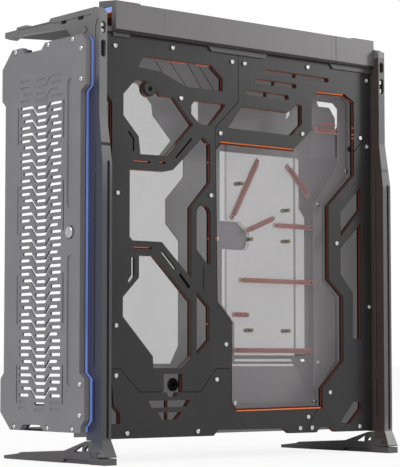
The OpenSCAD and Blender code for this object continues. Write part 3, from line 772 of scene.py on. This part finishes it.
@dataclass(frozen=True)
class Studio:
    """Floor, world, soft lamps and the camera."""

    eye: Triple = (-1.6467, -2.0090, 0.1328)
    forward: Triple = (0.6317, 0.7718, 0.0725)
    lens: float = 137.8
    sensor: float = 36.0
    sky: float = 0.62

    def world(self) -> None:
        """A plain grey light from all round, white where it is looked at."""
        world = bpy.data.worlds.new("studio")
        bpy.context.scene.world = world
        world.use_nodes = True
        tree = world.node_tree
        tree.nodes.clear()
        path = tree.nodes.new("ShaderNodeLightPath")
        seen = tree.nodes.new("ShaderNodeMath")
        seen.operation = "MAXIMUM"
        tree.links.new(path.outputs["Is Camera Ray"], seen.inputs[0])
        tree.links.new(path.outputs["Is Transmission Ray"], seen.inputs[1])
        level = tree.nodes.new("ShaderNodeMapRange")
        level.inputs["To Min"].default_value = self.sky
        level.inputs["To Max"].default_value = 1.0
        tree.links.new(seen.outputs[0], level.inputs["Value"])
        back = tree.nodes.new("ShaderNodeBackground")
        back.inputs["Color"].default_value = (1.0, 1.0, 1.0, 1.0)
        tree.links.new(level.outputs[0], back.inputs["Strength"])
        out = tree.nodes.new("ShaderNodeOutputWorld")
        tree.links.new(back.outputs[0], out.inputs["Surface"])

    def floor(self) -> None:
        """A pale round floor that carries the object's soft shadow."""
        turn = np.linspace(0.0, 2.0 * math.pi, FLOOR_SIDES, endpoint=False)
        flat = [np.outer(FLOOR_RINGS, np.cos(turn)), np.outer(FLOOR_RINGS, np.sin(turn))]
        grid = np.stack([*flat, np.zeros_like(flat[0])], axis=-1).reshape(-1, 3)
        ring, side = np.meshgrid(
            np.arange(len(FLOOR_RINGS) - 1), np.arange(FLOOR_SIDES), indexing="ij"
        )
        after = (side + 1) % FLOOR_SIDES
        near, far = ring * FLOOR_SIDES, (ring + 1) * FLOOR_SIDES
        quads = np.stack([near + side, far + side, far + after, near + after], axis=-1)
        faces = quads.reshape(-1, 4).tolist() + [list(range(FLOOR_SIDES))]
        mesh = bpy.data.meshes.new("floor")
        mesh.from_pydata(grid.tolist(), [], faces)
        floor = bpy.data.objects.new("floor", mesh)
        bpy.context.scene.collection.objects.link(floor)
        g = Graph("floor_paper")
        path = g.add("ShaderNodeLightPath", output="Is Camera Ray")
        white = g.add("ShaderNodeEmission", None, {"Color": (1.0, 1.0, 1.0), "Strength": 1.0})
        paper = g.add("ShaderNodeBsdfDiffuse", None, {"Color": (0.9, 0.9, 0.9)})
        mixed = g.add("ShaderNodeMixShader", None, {0: path * FLOOR_WHITENESS, 1: paper, 2: white})
        g.tree.links.new(mixed.socket, g.sink.inputs["Surface"])
        mesh.materials.append(g.material)

    def camera(self) -> None:
        """A camera at the photograph's place, level along its picture's rows."""
        data = bpy.data.cameras.new("camera")
        data.sensor_width = self.sensor
        data.lens = self.lens
        data.clip_end = 300.0
        forward = Vector(self.forward).normalized()
        right = forward.cross(Vector((0.0, 0.0, 1.0))).normalized()
        up = right.cross(forward)
        turn = Matrix((right, up, -forward)).transposed()
        camera = bpy.data.objects.new("camera", data)
        camera.matrix_world = Matrix.Translation(self.eye) @ turn.to_4x4()
        bpy.context.scene.collection.objects.link(camera)
        bpy.context.scene.camera = camera

    def build(self) -> None:
        """Sets the whole studio up."""
        bpy.context.scene.view_settings.view_transform = "Standard"
        self.world()
        self.floor()
        for lamp in LAMPS:
            lamp.hang()
        self.camera()


# Shapes


class Solid:
    """Prisms collected in the source's millimetres and placed in the row frame."""

    def __init__(self) -> None:
        """Starts empty."""
        self.points: list[np.ndarray] = []
        self.faces: list[list[int]] = []
        self.count = 0

    def prism(self, loop: Loop, start: float, stop: float, axis: Axis = Axis.Y) -> Solid:
        """Adds a closed prism.

        Args:
            loop: its outline in the plane across the axis, in the order X, Y, Z.
            start: where it begins along the axis.
            stop: where it ends.
            axis: the axis it runs along.

        Returns:
            The same solid, so that calls can be chained.
        """
        flat = np.asarray(loop, float)
        ends = []
        for depth in (start, stop):
            ends.append(np.insert(flat, axis.value, depth, axis=1))
        size = len(flat)
        first = self.count
        self.points.append(np.vstack(ends))
        ring = np.arange(size)
        after = (ring + 1) % size
        walls = np.stack([ring, ring + size, after + size, after], axis=1) + first
        self.faces += walls.tolist()
        self.faces += [(ring + first).tolist(), (ring[::-1] + size + first).tolist()]
        self.count += 2 * size
        return self

    def disc(
        self,
        centre: tuple[float, float],
        radius: float,
        start: float,
        stop: float,
        sides: int = 24,
    ) -> Solid:
        """Adds a cylinder along Y.

        Args:
            centre: its X and Z.
            radius: its radius.
            start: its near face.
            stop: its far face.
            sides: how many sides it has.

        Returns:
            The same solid.
        """
        turn = np.linspace(0.0, 2.0 * math.pi, sides, endpoint=False)
        across, up = centre[0] + radius * np.cos(turn), centre[1] + radius * np.sin(turn)
        return self.prism(np.stack([across, up], axis=1).tolist(), start, stop)

    def mesh(self, name: str) -> bpy.types.Mesh:
        """The mesh, with its faces turned outwards.

        Args:
            name: its name.

        Returns:
            The mesh in metres.
        """
        place = np.vstack(self.points) / MM_PER_M + SHIFT
        mesh = bpy.data.meshes.new(name)
        mesh.from_pydata(place.tolist(), [], self.faces)
        shape = bmesh.new()
        shape.from_mesh(mesh)
        bmesh.ops.recalc_face_normals(shape, faces=shape.faces)
        shape.to_mesh(mesh)
        shape.free()
        return mesh

    def loose(self, name: str) -> bpy.types.Object:
        """An object in the scene that rides nothing yet.

        Args:
            name: its name.

        Returns:
            The object.
        """
        thing = bpy.data.objects.new(name, self.mesh(name))
        bpy.context.scene.collection.objects.link(thing)
        return thing


def inset(loop: Loop, depth: float) -> list[tuple[float, float]]:
    """An outline drawn parallel to a closed one, inside it.

    Args:
        loop: the outline, in either direction.
        depth: how far inside.

    Returns:
        The new outline, corner for corner.
    """
    flat = np.asarray(loop, float)
    after = np.roll(flat, -1, axis=0)
    area = float(np.sum(flat[:, 0] * after[:, 1] - after[:, 0] * flat[:, 1]))
    run = after - flat
    run /= np.linalg.norm(run, axis=1, keepdims=True)
    inward = np.stack([-run[:, 1], run[:, 0]], axis=1) * (1.0 if area > 0 else -1.0)
    before = np.roll(inward, 1, axis=0)
    mitre = (inward + before) / (1.0 + np.sum(inward * before, axis=1, keepdims=True))
    return [tuple(point) for point in (flat + mitre * depth)]


def rectangle(left: float, low: float, right: float, high: float) -> Loop:
    """The outline of an upright rectangle.

    Args:
        left: its first X, or Y where it is cut along X.
        low: its lower Z.
        right: its last X, or Y.
        high: its upper Z.

    Returns:
        Its four corners.
    """
    return [(left, low), (right, low), (right, high), (left, high)]


def openings(
    loops: Sequence[Loop], depths: tuple[float, float], axis: Axis = Axis.Y
) -> list[Cut]:
    """One cut for each of several outlines that share their depths.

    Args:
        loops: the outlines.
        depths: where the cuts begin and end along the axis.
        axis: the axis they run along.

    Returns:
        The cuts, as Shop.recut takes them.
    """
    return [(loop, *depths, axis) for loop in loops]


# Outlines and depths, in the source's millimetres

END_FRAMES = (("front", -34.5), ("rear", LENGTH))
CORNER_BEVEL = ((-30.0, 567.5), (-18.0, 567.5), (-11.0, 573.5), (-11.0, 600.0), (-30.0, 600.0))
HEEL_SPLIT = rectangle(-40.0, -23.7, -15.0, -22.5)
FOOT_HOLE = ((37.4, -16.8), (16.5, -6.8), (18.0, -16.8))
FOOT_HOLLOW = ((8.0, -16.8), (8.0, -8.0), (20.0, -6.4), (36.0, -10.9), (51.0, -15.4), (51.0, -16.8))
ARM_X = (-40.0, -20.0)

FRONT_NOTCH = ((86.0, -6.0), (86.0, 9.0), (95.5, 17.4), (141.0, 17.4), (153.0, 9.0), (153.0, -6.0))
FRONT_SHEETS_X = (-44.0, -20.0)

PLATE_Y = (0.0, 4.0)
THROUGH_PLATE_Y = (-1.0, 4.5)
THROUGH_GLOW_Y = (3.5, 10.0)
THROUGH_BOTH_Y = (-2.0, 12.0)
SEAM_Y = (-1.0, 0.8)
ARCH_AT = (159.1, 308.0)
ARCH_RADII = (12.5, 12.8)
ARCH_TURNS = np.radians(np.arange(180.0, -1.0, -15.0))
SLOT_WINDOW = (
    *[
        (ARCH_AT[0] + ARCH_RADII[0] * math.cos(t), ARCH_AT[1] + ARCH_RADII[1] * math.sin(t))
        for t in ARCH_TURNS
    ],
    (171.6, 239.5),
    (168.2, 236.8),
    (161.0, 243.9),
    (146.6, 258.3),
)
KITE_WINDOW = (
    (146.8, 199.3),
    (148.5, 198.4),
    (170.0, 178.0),
    (170.0, 132.7),
    (148.1, 112.6),
    (146.8, 112.6),
)
SEAM_LINE = rectangle(158.3, 202.0, 159.7, 235.0)
SLITS = (
    ((33.2, 243.4), (38.1, 243.4), (38.1, 217.4), (30.4, 208.0), (27.2, 210.6), (33.2, 219.2)),
    ((84.4, 251.2), (87.2, 253.9), (110.4, 230.6), (107.6, 227.8)),
    ((114.8, 221.3), (118.0, 224.5), (135.3, 206.2), (132.1, 203.0)),
)
FILLED_SLITS = (
    ((83.0, 257.0), (86.5, 260.5), (129.0, 220.0), (125.5, 216.5)),
    ((109.5, 228.0), (113.5, 231.5), (131.0, 214.5), (127.0, 210.0)),
)
BEHIND_SLITS = (
    ((33.2, 244.5), (47.0, 244.5), (47.0, 214.0), (36.0, 206.0), (30.0, 206.0)),
    ((84.5, 254.5), (97.0, 254.5), (121.0, 229.0), (107.0, 227.0)),
)
BIG_WINDOW = (
    (180.0, 402.0),
    (191.0, 413.0),
    (330.6, 413.0),
    (365.6, 444.0),
    (365.6, 491.0),
    (375.6, 502.0),
    (432.6, 503.0),
    (451.6, 493.0),
    (451.6, 382.0),
    (398.6, 333.0),
    (398.6, 224.0),
    (427.6, 199.0),
    (427.6, 104.0),
    (384.6, 64.0),
    (384.6, 35.0),
    (220.0, 33.0),
    (209.0, 43.0),
    (209.0, 157.0),
    (183.0, 185.0),
)
RIM_BRIGHT = (1, 5, 14, 15)  # edges of BIG_WINDOW, by their first corner
# On these edges the dark strip is painted shade over the shadowed tray, and the thin line a painted
# reflection.
RIM_DARK = (0, 16, 17, 18)
RIM_DEPTH = 0.3
# Each strip piece: its look, then the edges it follows, its two insets and its near face
RIM_STRIPS = {
    "rim_bright": ("bright_line", ((RIM_BRIGHT, 0.0, 1.6, 3.5),)),
    "rim_dark": ("dark_rim", ((RIM_BRIGHT, 1.6, 3.7, 3.5), (RIM_DARK, 0.0, 4.6, 3.7))),
    "rim_thin": ("thin_line", ((RIM_BRIGHT, 3.7, 4.3, 3.5), (RIM_DARK, 1.2, 1.7, 3.4))),
}
BUSH_AT = (134.0, 71.0)
BUSH_CORE_RADIUS = 6.3
BUSH_CORE_Y = (39.0, 40.0)
# Small glowing dots by X and Z, and dashes by their two X and their upper Z
GLOW_DOTS = (
    (117.3, 458.0),
    (139.6, 434.4),
    (166.7, 407.4),
    (170.7, 381.6),
    (140.6, 315.1),
    (140.6, 276.1),
    (140.6, 235.7),
    (140.7, 155.3),
    (140.7, 122.9),
    (171.2, 274.6),
    (168.5, 155.0),
)
LIT_DASHES = (
    (73.8, 81.0, 517.8),
    (100.0, 127.8, 517.8),
    (148.5, 172.0, 518.2),
    (37.0, 66.0, 257.8),
    (37.5, 63.5, 375.3),
    (82.0, 89.0, 376.3),
)
# Marks by their two X, their middle Z and their far face
RED_MARKS = (
    (446.5, 451.0, 453.2, 0.0),
    (446.5, 451.0, 443.0, 0.0),
    (446.5, 451.0, 437.5, 0.0),
    (180.3, 186.0, 275.0, 0.0),
    (400.6, 450.6, 460.0, 30.9),
)
GLOW_DOT_Y = (3.9, 5.3)
DASH_Y = (3.7, 4.0)
DASH_HEIGHT = 1.1
MARK_HALF = 0.6
MARK_DEPTH = 0.15

# Lines on the tray from end to end, and combs from the middle of one eye to the other
ETCHED = (
    ((98.5, 527.7), (119.0, 504.0)),
    ((125.4, 527.7), (166.0, 483.5)),
    ((160.5, 525.6), (186.0, 492.0)),
    ((176.4, 529.8), (214.0, 486.0)),
)
COMBS = (
    ("comb_upper_left", (286.0, 394.0), (238.0, 310.0)),
    ("comb_upper_right", (345.6, 390.0), (385.6, 350.0)),
    ("comb_middle_left", (266.0, 292.0), (316.0, 312.0)),
    ("comb_middle_right", (322.0, 302.0), (391.6, 302.0)),
    ("comb_long_upper", (256.0, 220.0), (391.6, 220.0)),
    ("comb_short", (243.0, 170.0), (266.0, 170.0)),
    ("comb_long_lower", (244.0, 119.0), (391.6, 119.0)),
    ("comb_top", (402.6, 450.0), (444.6, 450.0)),
)
COMB_HALF = 3.5  # half a comb's width, and how far it runs on past its eyes
COMB_PITCH = 3.6
TOOTH_HALF = 0.4
TOOTH_REACH = 3.4
EYE_RADIUS = 3.1
SOCKET_RADIUS = 1.3
SOCKET_SIDES = 12
SPINE_Y = (31.6, 33.0)
TEETH_Y = (26.6, 31.6)
EYE_Y = (29.9, 31.6)
SOCKET_Y = (29.7, 29.9)
LIT_EDGE_Y = (30.8, 31.5)
LIT_EDGE_HEIGHT = 0.7
LEVEL_SLOPE = 0.1  # a comb that climbs less than this has a lit lower edge

TONGUE_NOTCH = (
    (222.0, 263.0),
    (265.5, 263.0),
    (271.0, 269.0),
    (272.0, 289.5),
    (252.5, 305.0),
    (222.0, 305.0),
)
TRAY_STRIP = rectangle(164.0, 441.0, 182.0, 474.0)
TRAY_SPOT = ((348.0, 463.0), (353.0, 463.0), (358.5, 470.0), (358.5, 478.0), (352.0, 478.0))
BOARD_SHEET_Y = (30.0, 40.0)
TRAY_Y = (36.0, 43.0)
ETCHED_Y = (37.7, 38.0)
ETCHED_HALF = 0.4

REAR_GAP = rectangle(160.0, 116.0, 192.0, 446.0)
REAR_PANE = rectangle(158.0, 114.0, 189.6, 448.0)
REAR_PANEL_X = (500.0, 508.0)
REAR_PANE_X = (500.4, 502.4)


# The object


@dataclass
class Shop:
    """What the sub-assemblies build with: the frame and the finished materials."""

    frame: dict[str, object]
    materials: dict[str, bpy.types.Material]

    def slots(self) -> dict[str, str]:
        """The record's material slot of each CAD node.

        Returns:
            The slots by node.
        """
        return {part["node"]: part["material_slot"] for part in self.frame["record"]["subparts"]}

    def fit(
        self,
        thing: bpy.types.Object,
        slot: str,
        stands_for: Sequence[str] = (),
        look: str = "",
    ) -> None:
        """Gives a piece its finish and lets it ride the case.

        Args:
            thing: the piece.
            slot: the record's material slot.
            stands_for: CAD nodes that it replaces.
            look: another finish than the slot's own.
        """
        thing.data.materials.clear()
        thing.data.materials.append(self.materials[look or slot])
        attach(thing, "case")
        if stands_for:
            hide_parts(*stands_for)
        LOG.info("%s wears %s", thing.name, look or slot)

    def recut(self, node: str, cuts: Sequence[Cut], fills: Sequence[Cut] = ()) -> None:
        """Shows a CAD node with further openings cut through it.

        Args:
            node: the node.
            cuts: each opening's outline, its two depths and its axis.
            fills: places that are closed before the cuts, given in the same way.
        """
        thing = bpy.data.objects.new(f"{node}_cut", self.frame["nodes"][node].data.copy())
        bpy.context.scene.collection.objects.link(thing)
        shape = bmesh.new()
        shape.from_mesh(thing.data)
        bmesh.ops.remove_doubles(shape, verts=shape.verts, dist=1e-6)
        shape.to_mesh(thing.data)
        shape.free()
        tools = []
        for kind, prisms in (("UNION", fills), ("DIFFERENCE", cuts)):
            for loop, start, stop, axis in prisms:
                tools.append(Solid().prism(loop, start, stop, axis).loose("tool"))
                step = thing.modifiers.new("cut", "BOOLEAN")
                step.operation, step.solver, step.object = kind, "EXACT", tools[-1]
        graph = bpy.context.evaluated_depsgraph_get()
        baked = bpy.data.meshes.new_from_object(thing.evaluated_get(graph))
        thing.modifiers.clear()
        thing.data = baked
        for tool in tools:
            bpy.data.meshes.remove(tool.data)
        # The normals that came with the CAD mesh don't fit the new faces.
        if "custom_normal" in baked.attributes:
            baked.attributes.remove(baked.attributes["custom_normal"])
        baked.polygons.foreach_set("use_smooth", [False] * len(baked.polygons))
        self.fit(thing, self.slots()[node], [node])


@dataclass
class SubAssembly:
    """A group of CAD nodes that are dressed together."""

    nodes: Sequence[str] = ()

    def dress(self, shop: Shop) -> None:
        """Gives each node the material of its slot and adds the group's own pieces.

        Args:
            shop: the frame and the materials.
        """
        slots = shop.slots()
        for name in self.nodes:
            node = shop.frame["nodes"][name]
            node.data.materials.clear()
            node.data.materials.append(shop.materials[NODE_LOOKS.get(name, slots[name])])
        self.detail(shop)

    def detail(self, shop: Shop) -> None:
        """Adds nothing; groups with pieces of their own replace it.

        Args:
            shop: the frame and the materials.
        """
        LOG.info("%s dressed", type(self).__name__)


@dataclass
class EndFrames(SubAssembly):
    """Two C-shaped frames: column, foot and arm each."""

    nodes: Sequence[str] = (
        "front_column",
        "rear_column",
        "front_foot",
        "rear_foot",
        "front_arm",
        "rear_arm",
    )

    def detail(self, shop: Shop) -> None:
        """Bevels the front column's top corner, splits the heels and opens the feet.

        Args:
            shop: the frame and the materials.
        """
        for end, x in END_FRAMES:
            heel = openings([HEEL_SPLIT], (x - 5.0, x + 25.0), Axis.X)
            bevel = openings([CORNER_BEVEL], (x - 5.0, x + 14.0), Axis.X) if end == "front" else []
            shop.recut(f"{end}_column", [*heel, *bevel])
            hole = openings([FOOT_HOLE], (x - 2.0, x + 14.0), Axis.X)
            hollow = openings([FOOT_HOLLOW], (x + 4.0, x + 14.0), Axis.X)
            shop.recut(f"{end}_foot", [*heel, *hole, *hollow])
        shop.recut("front_arm", openings([CORNER_BEVEL], ARM_X, Axis.X))


@dataclass
class Front(SubAssembly):
    """Slotted front panel, the lit sheet behind it and the bulkhead."""

    nodes: Sequence[str] = (
        "front_panel",
        "front_glow_sheet",
        "front_bulkhead",
        "power_button",
        "power_switch",
    )

    def detail(self, shop: Shop) -> None:
        """Opens the sheets behind the notch in the front panel's bottom edge.

        Args:
            shop: the frame and the materials.
        """
        for node in ("front_glow_sheet", "front_bulkhead"):
            shop.recut(node, openings([FRONT_NOTCH], FRONT_SHEETS_X, Axis.X))


@dataclass
class DarkSide(SubAssembly):
    """Four dark plates over a lit sheet, held off the tray by posts."""

    nodes: Sequence[str] = (
        "side_plate_front",
        "side_plate_top",
        "side_plate_rear",
        "side_plate_bottom",
        "side_glow_sheet",
        "spacer_posts",
        "side_bush",
    )

    def detail(self, shop: Shop) -> None:
        """Opens two windows and moves some slits, then adds the window's rim and its glowing marks.

        Args:
            shop: the frame and the materials.
        """
        windows = openings((SLOT_WINDOW, KITE_WINDOW), THROUGH_BOTH_Y)
        slits = openings(SLITS, THROUGH_PLATE_Y)
        seam = openings([SEAM_LINE], SEAM_Y)
        filled = openings(FILLED_SLITS, PLATE_Y)
        shop.recut("side_plate_front", [*windows, *slits, *seam], filled)
        shop.recut("side_glow_sheet", [*windows, *openings(BEHIND_SLITS, THROUGH_GLOW_Y)])
        self.rim(shop)
        self.marks(shop)

    def rim(self, shop: Shop) -> None:
        """The big window's rim: dark, with a bright line on level edges and a thin one beside it.
        On the window's left edges the dark strip is painted shade and the thin line a painted
        reflection.

        Args:
            shop: the frame and the materials.
        """
        for name, (look, strips) in RIM_STRIPS.items():
            solid = Solid()
            for edges, low, high, near in strips:
                outer, inner = inset(BIG_WINDOW, low), inset(BIG_WINDOW, high)
                for edge in edges:
                    after = (edge + 1) % len(BIG_WINDOW)
                    strip = [outer[edge], outer[after], inner[after], inner[edge]]
                    solid.prism(strip, near, near + RIM_DEPTH)
            shop.fit(solid.loose(name), "orange_acrylic", look=look)

    def marks(self, shop: Shop) -> None:
        """Small glowing dots on the walls of the windows, short lit dashes, and the tray bush's
        core.

        Args:
            shop: the frame and the materials.
        """
        dots, dashes = Solid(), Solid()
        for x, z in GLOW_DOTS:
            dots.prism(rectangle(x - 1.0, z - 0.9, x + 0.6, z + 0.9), *GLOW_DOT_Y)
        for x0, x1, z in LIT_DASHES:
            dashes.prism(rectangle(x0, z - DASH_HEIGHT, x1, z), *DASH_Y)
        for x0, x1, z, y in RED_MARKS:
            dashes.prism(rectangle(x0, z - MARK_HALF, x1, z + MARK_HALF), y - MARK_DEPTH, y)
        shop.fit(dots.loose("window_glow_dots"), "orange_acrylic", look="soft_line")
        shop.fit(dashes.loose("window_dashes"), "orange_acrylic", look="soft_line")
        core = Solid().disc(BUSH_AT, BUSH_CORE_RADIUS, *BUSH_CORE_Y)
        shop.fit(core.loose("tray_bush_core"), "black_plastic")


@dataclass
class BoardTray(SubAssembly):
    """Tray, clear board sheet, inner cover, combs and standoffs."""

    nodes: Sequence[str] = (
        "tray",
        "board_sheet",
        "cover_plate",
        "comb_upper_left",
        "comb_upper_right",
        "comb_middle_left",
        "comb_middle_right",
        "comb_long_upper",
        "comb_short",
        "comb_long_lower",
        "comb_top",
        "board_standoffs",
        "tray_bush",
    )

    def detail(self, shop: Shop) -> None:
        """Notches the clear sheet, opens the tray, draws its lines and makes the combs.

        Args:
            shop: the frame and the materials.
        """
        shop.recut("board_sheet", openings([TONGUE_NOTCH], BOARD_SHEET_Y))
        etched = Solid()
        for start, stop in ETCHED:
            run = np.array(stop) - np.array(start)
            side = np.array([-run[1], run[0]]) / np.linalg.norm(run) * ETCHED_HALF
            corners = ((start, 1), (stop, 1), (stop, -1), (start, -1))
            etched.prism([tuple(np.array(p) + k * side) for p, k in corners], *ETCHED_Y)
        shop.fit(etched.loose("tray_lines"), "tray_metal", look="etched_line")
        shop.recut("tray", openings((TRAY_STRIP, TRAY_SPOT), TRAY_Y))
        for name, start, stop in COMBS:
            self.comb(shop, name, np.array(start), np.array(stop))

    def comb(self, shop: Shop, name: str, start: np.ndarray, stop: np.ndarray) -> None:
        """One cable comb: a strip with an eye and a socket at each end, and its teeth.

        Args:
            shop: the frame and the materials.
            name: the CAD node that it stands for.
            start: the middle of its first eye.
            stop: the middle of its last eye.
        """
        reach = float(np.linalg.norm(stop - start))
        along = (stop - start) / reach
        across = np.array([-along[1], along[0]])

        def bar(low: float, high: float, half: float) -> Loop:
            """A bar's outline on the comb's own axes.

            Args:
                low: where it begins along the comb.
                high: where it ends.
                half: half its width.

            Returns:
                Its four corners.
            """
            corners = rectangle(low, -half, high, half)
            return [tuple(start + along * u + across * v) for u, v in corners]

        spine = Solid().prism(bar(-COMB_HALF, reach + COMB_HALF, COMB_HALF), *SPINE_Y)
        teeth, sockets = Solid(), Solid()
        count = int(reach // COMB_PITCH)
        first = (reach - count * COMB_PITCH) / 2.0
        for step in range(1, count):
            middle = first + step * COMB_PITCH
            teeth.prism(bar(middle - TOOTH_HALF, middle + TOOTH_HALF, TOOTH_REACH), *TEETH_Y)
        for centre in (start, stop):
            spine.disc(tuple(centre), EYE_RADIUS, *EYE_Y)
            sockets.disc(tuple(centre), SOCKET_RADIUS, *SOCKET_Y, SOCKET_SIDES)
        shop.fit(spine.loose(f"{name}_spine"), "comb_acrylic", [name])
        shop.fit(teeth.loose(f"{name}_teeth"), "comb_acrylic", look="comb_tooth")
        if abs(along[1]) < LEVEL_SLOPE:
            left, right, low = start[0] - COMB_HALF, stop[0] + COMB_HALF, start[1] - COMB_HALF
            edge = Solid().prism(rectangle(left, low, right, low + LIT_EDGE_HEIGHT), *LIT_EDGE_Y)
            shop.fit(edge.loose(f"{name}_edge"), "comb_acrylic", look="comb_line")
        shop.fit(sockets.loose(f"{name}_sockets"), "black_plastic")


@dataclass
class TopRail(SubAssembly):
    """Rail in three lengths with two bars of light along its inside."""

    nodes: Sequence[str] = (
        "rail_front",
        "rail_middle",
        "rail_rear",
        "rail_blue_bar",
        "rail_orange_bar",
    )


@dataclass
class Shell(SubAssembly):
    """Top, bottom, rear and the glass side."""

    nodes: Sequence[str] = ("top_plate", "bottom_plate", "rear_panel", "slot_covers", "side_glass")

    def detail(self, shop: Shop) -> None:
        """Opens the rear panel along the glass, where the photograph looks straight through.

        Args:
            shop: the frame and the materials.
        """
        shop.recut("rear_panel", openings([REAR_GAP], REAR_PANEL_X, Axis.X))
        pane = Solid().prism(REAR_PANE, *REAR_PANE_X, Axis.X)
        shop.fit(pane.loose("rear_pane"), "side_glass", look="rear_glass")


@dataclass
class Fasteners(SubAssembly):
    """Screws in their groups."""

    nodes: Sequence[str] = (
        "side_screws",
        "post_screws",
        "panel_screws",
        "edge_screws",
        "column_screws",
        "board_screws",
        "cover_screws",
    )


def main() -> None:
    """Loads the frame, builds the studio and dresses each sub-assembly in order."""
    logging.basicConfig(level=logging.INFO, format="%(message)s")
    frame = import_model()
    Studio().build()
    materials = {name: finish.material(name) for name, finish in FINISHES.items()}
    shop = Shop(frame, materials)
    for group in (EndFrames(), Front(), DarkSide(), BoardTray(), TopRail(), Shell(), Fasteners()):
        group.dress(shop)


if __name__ == "__main__":
    main()
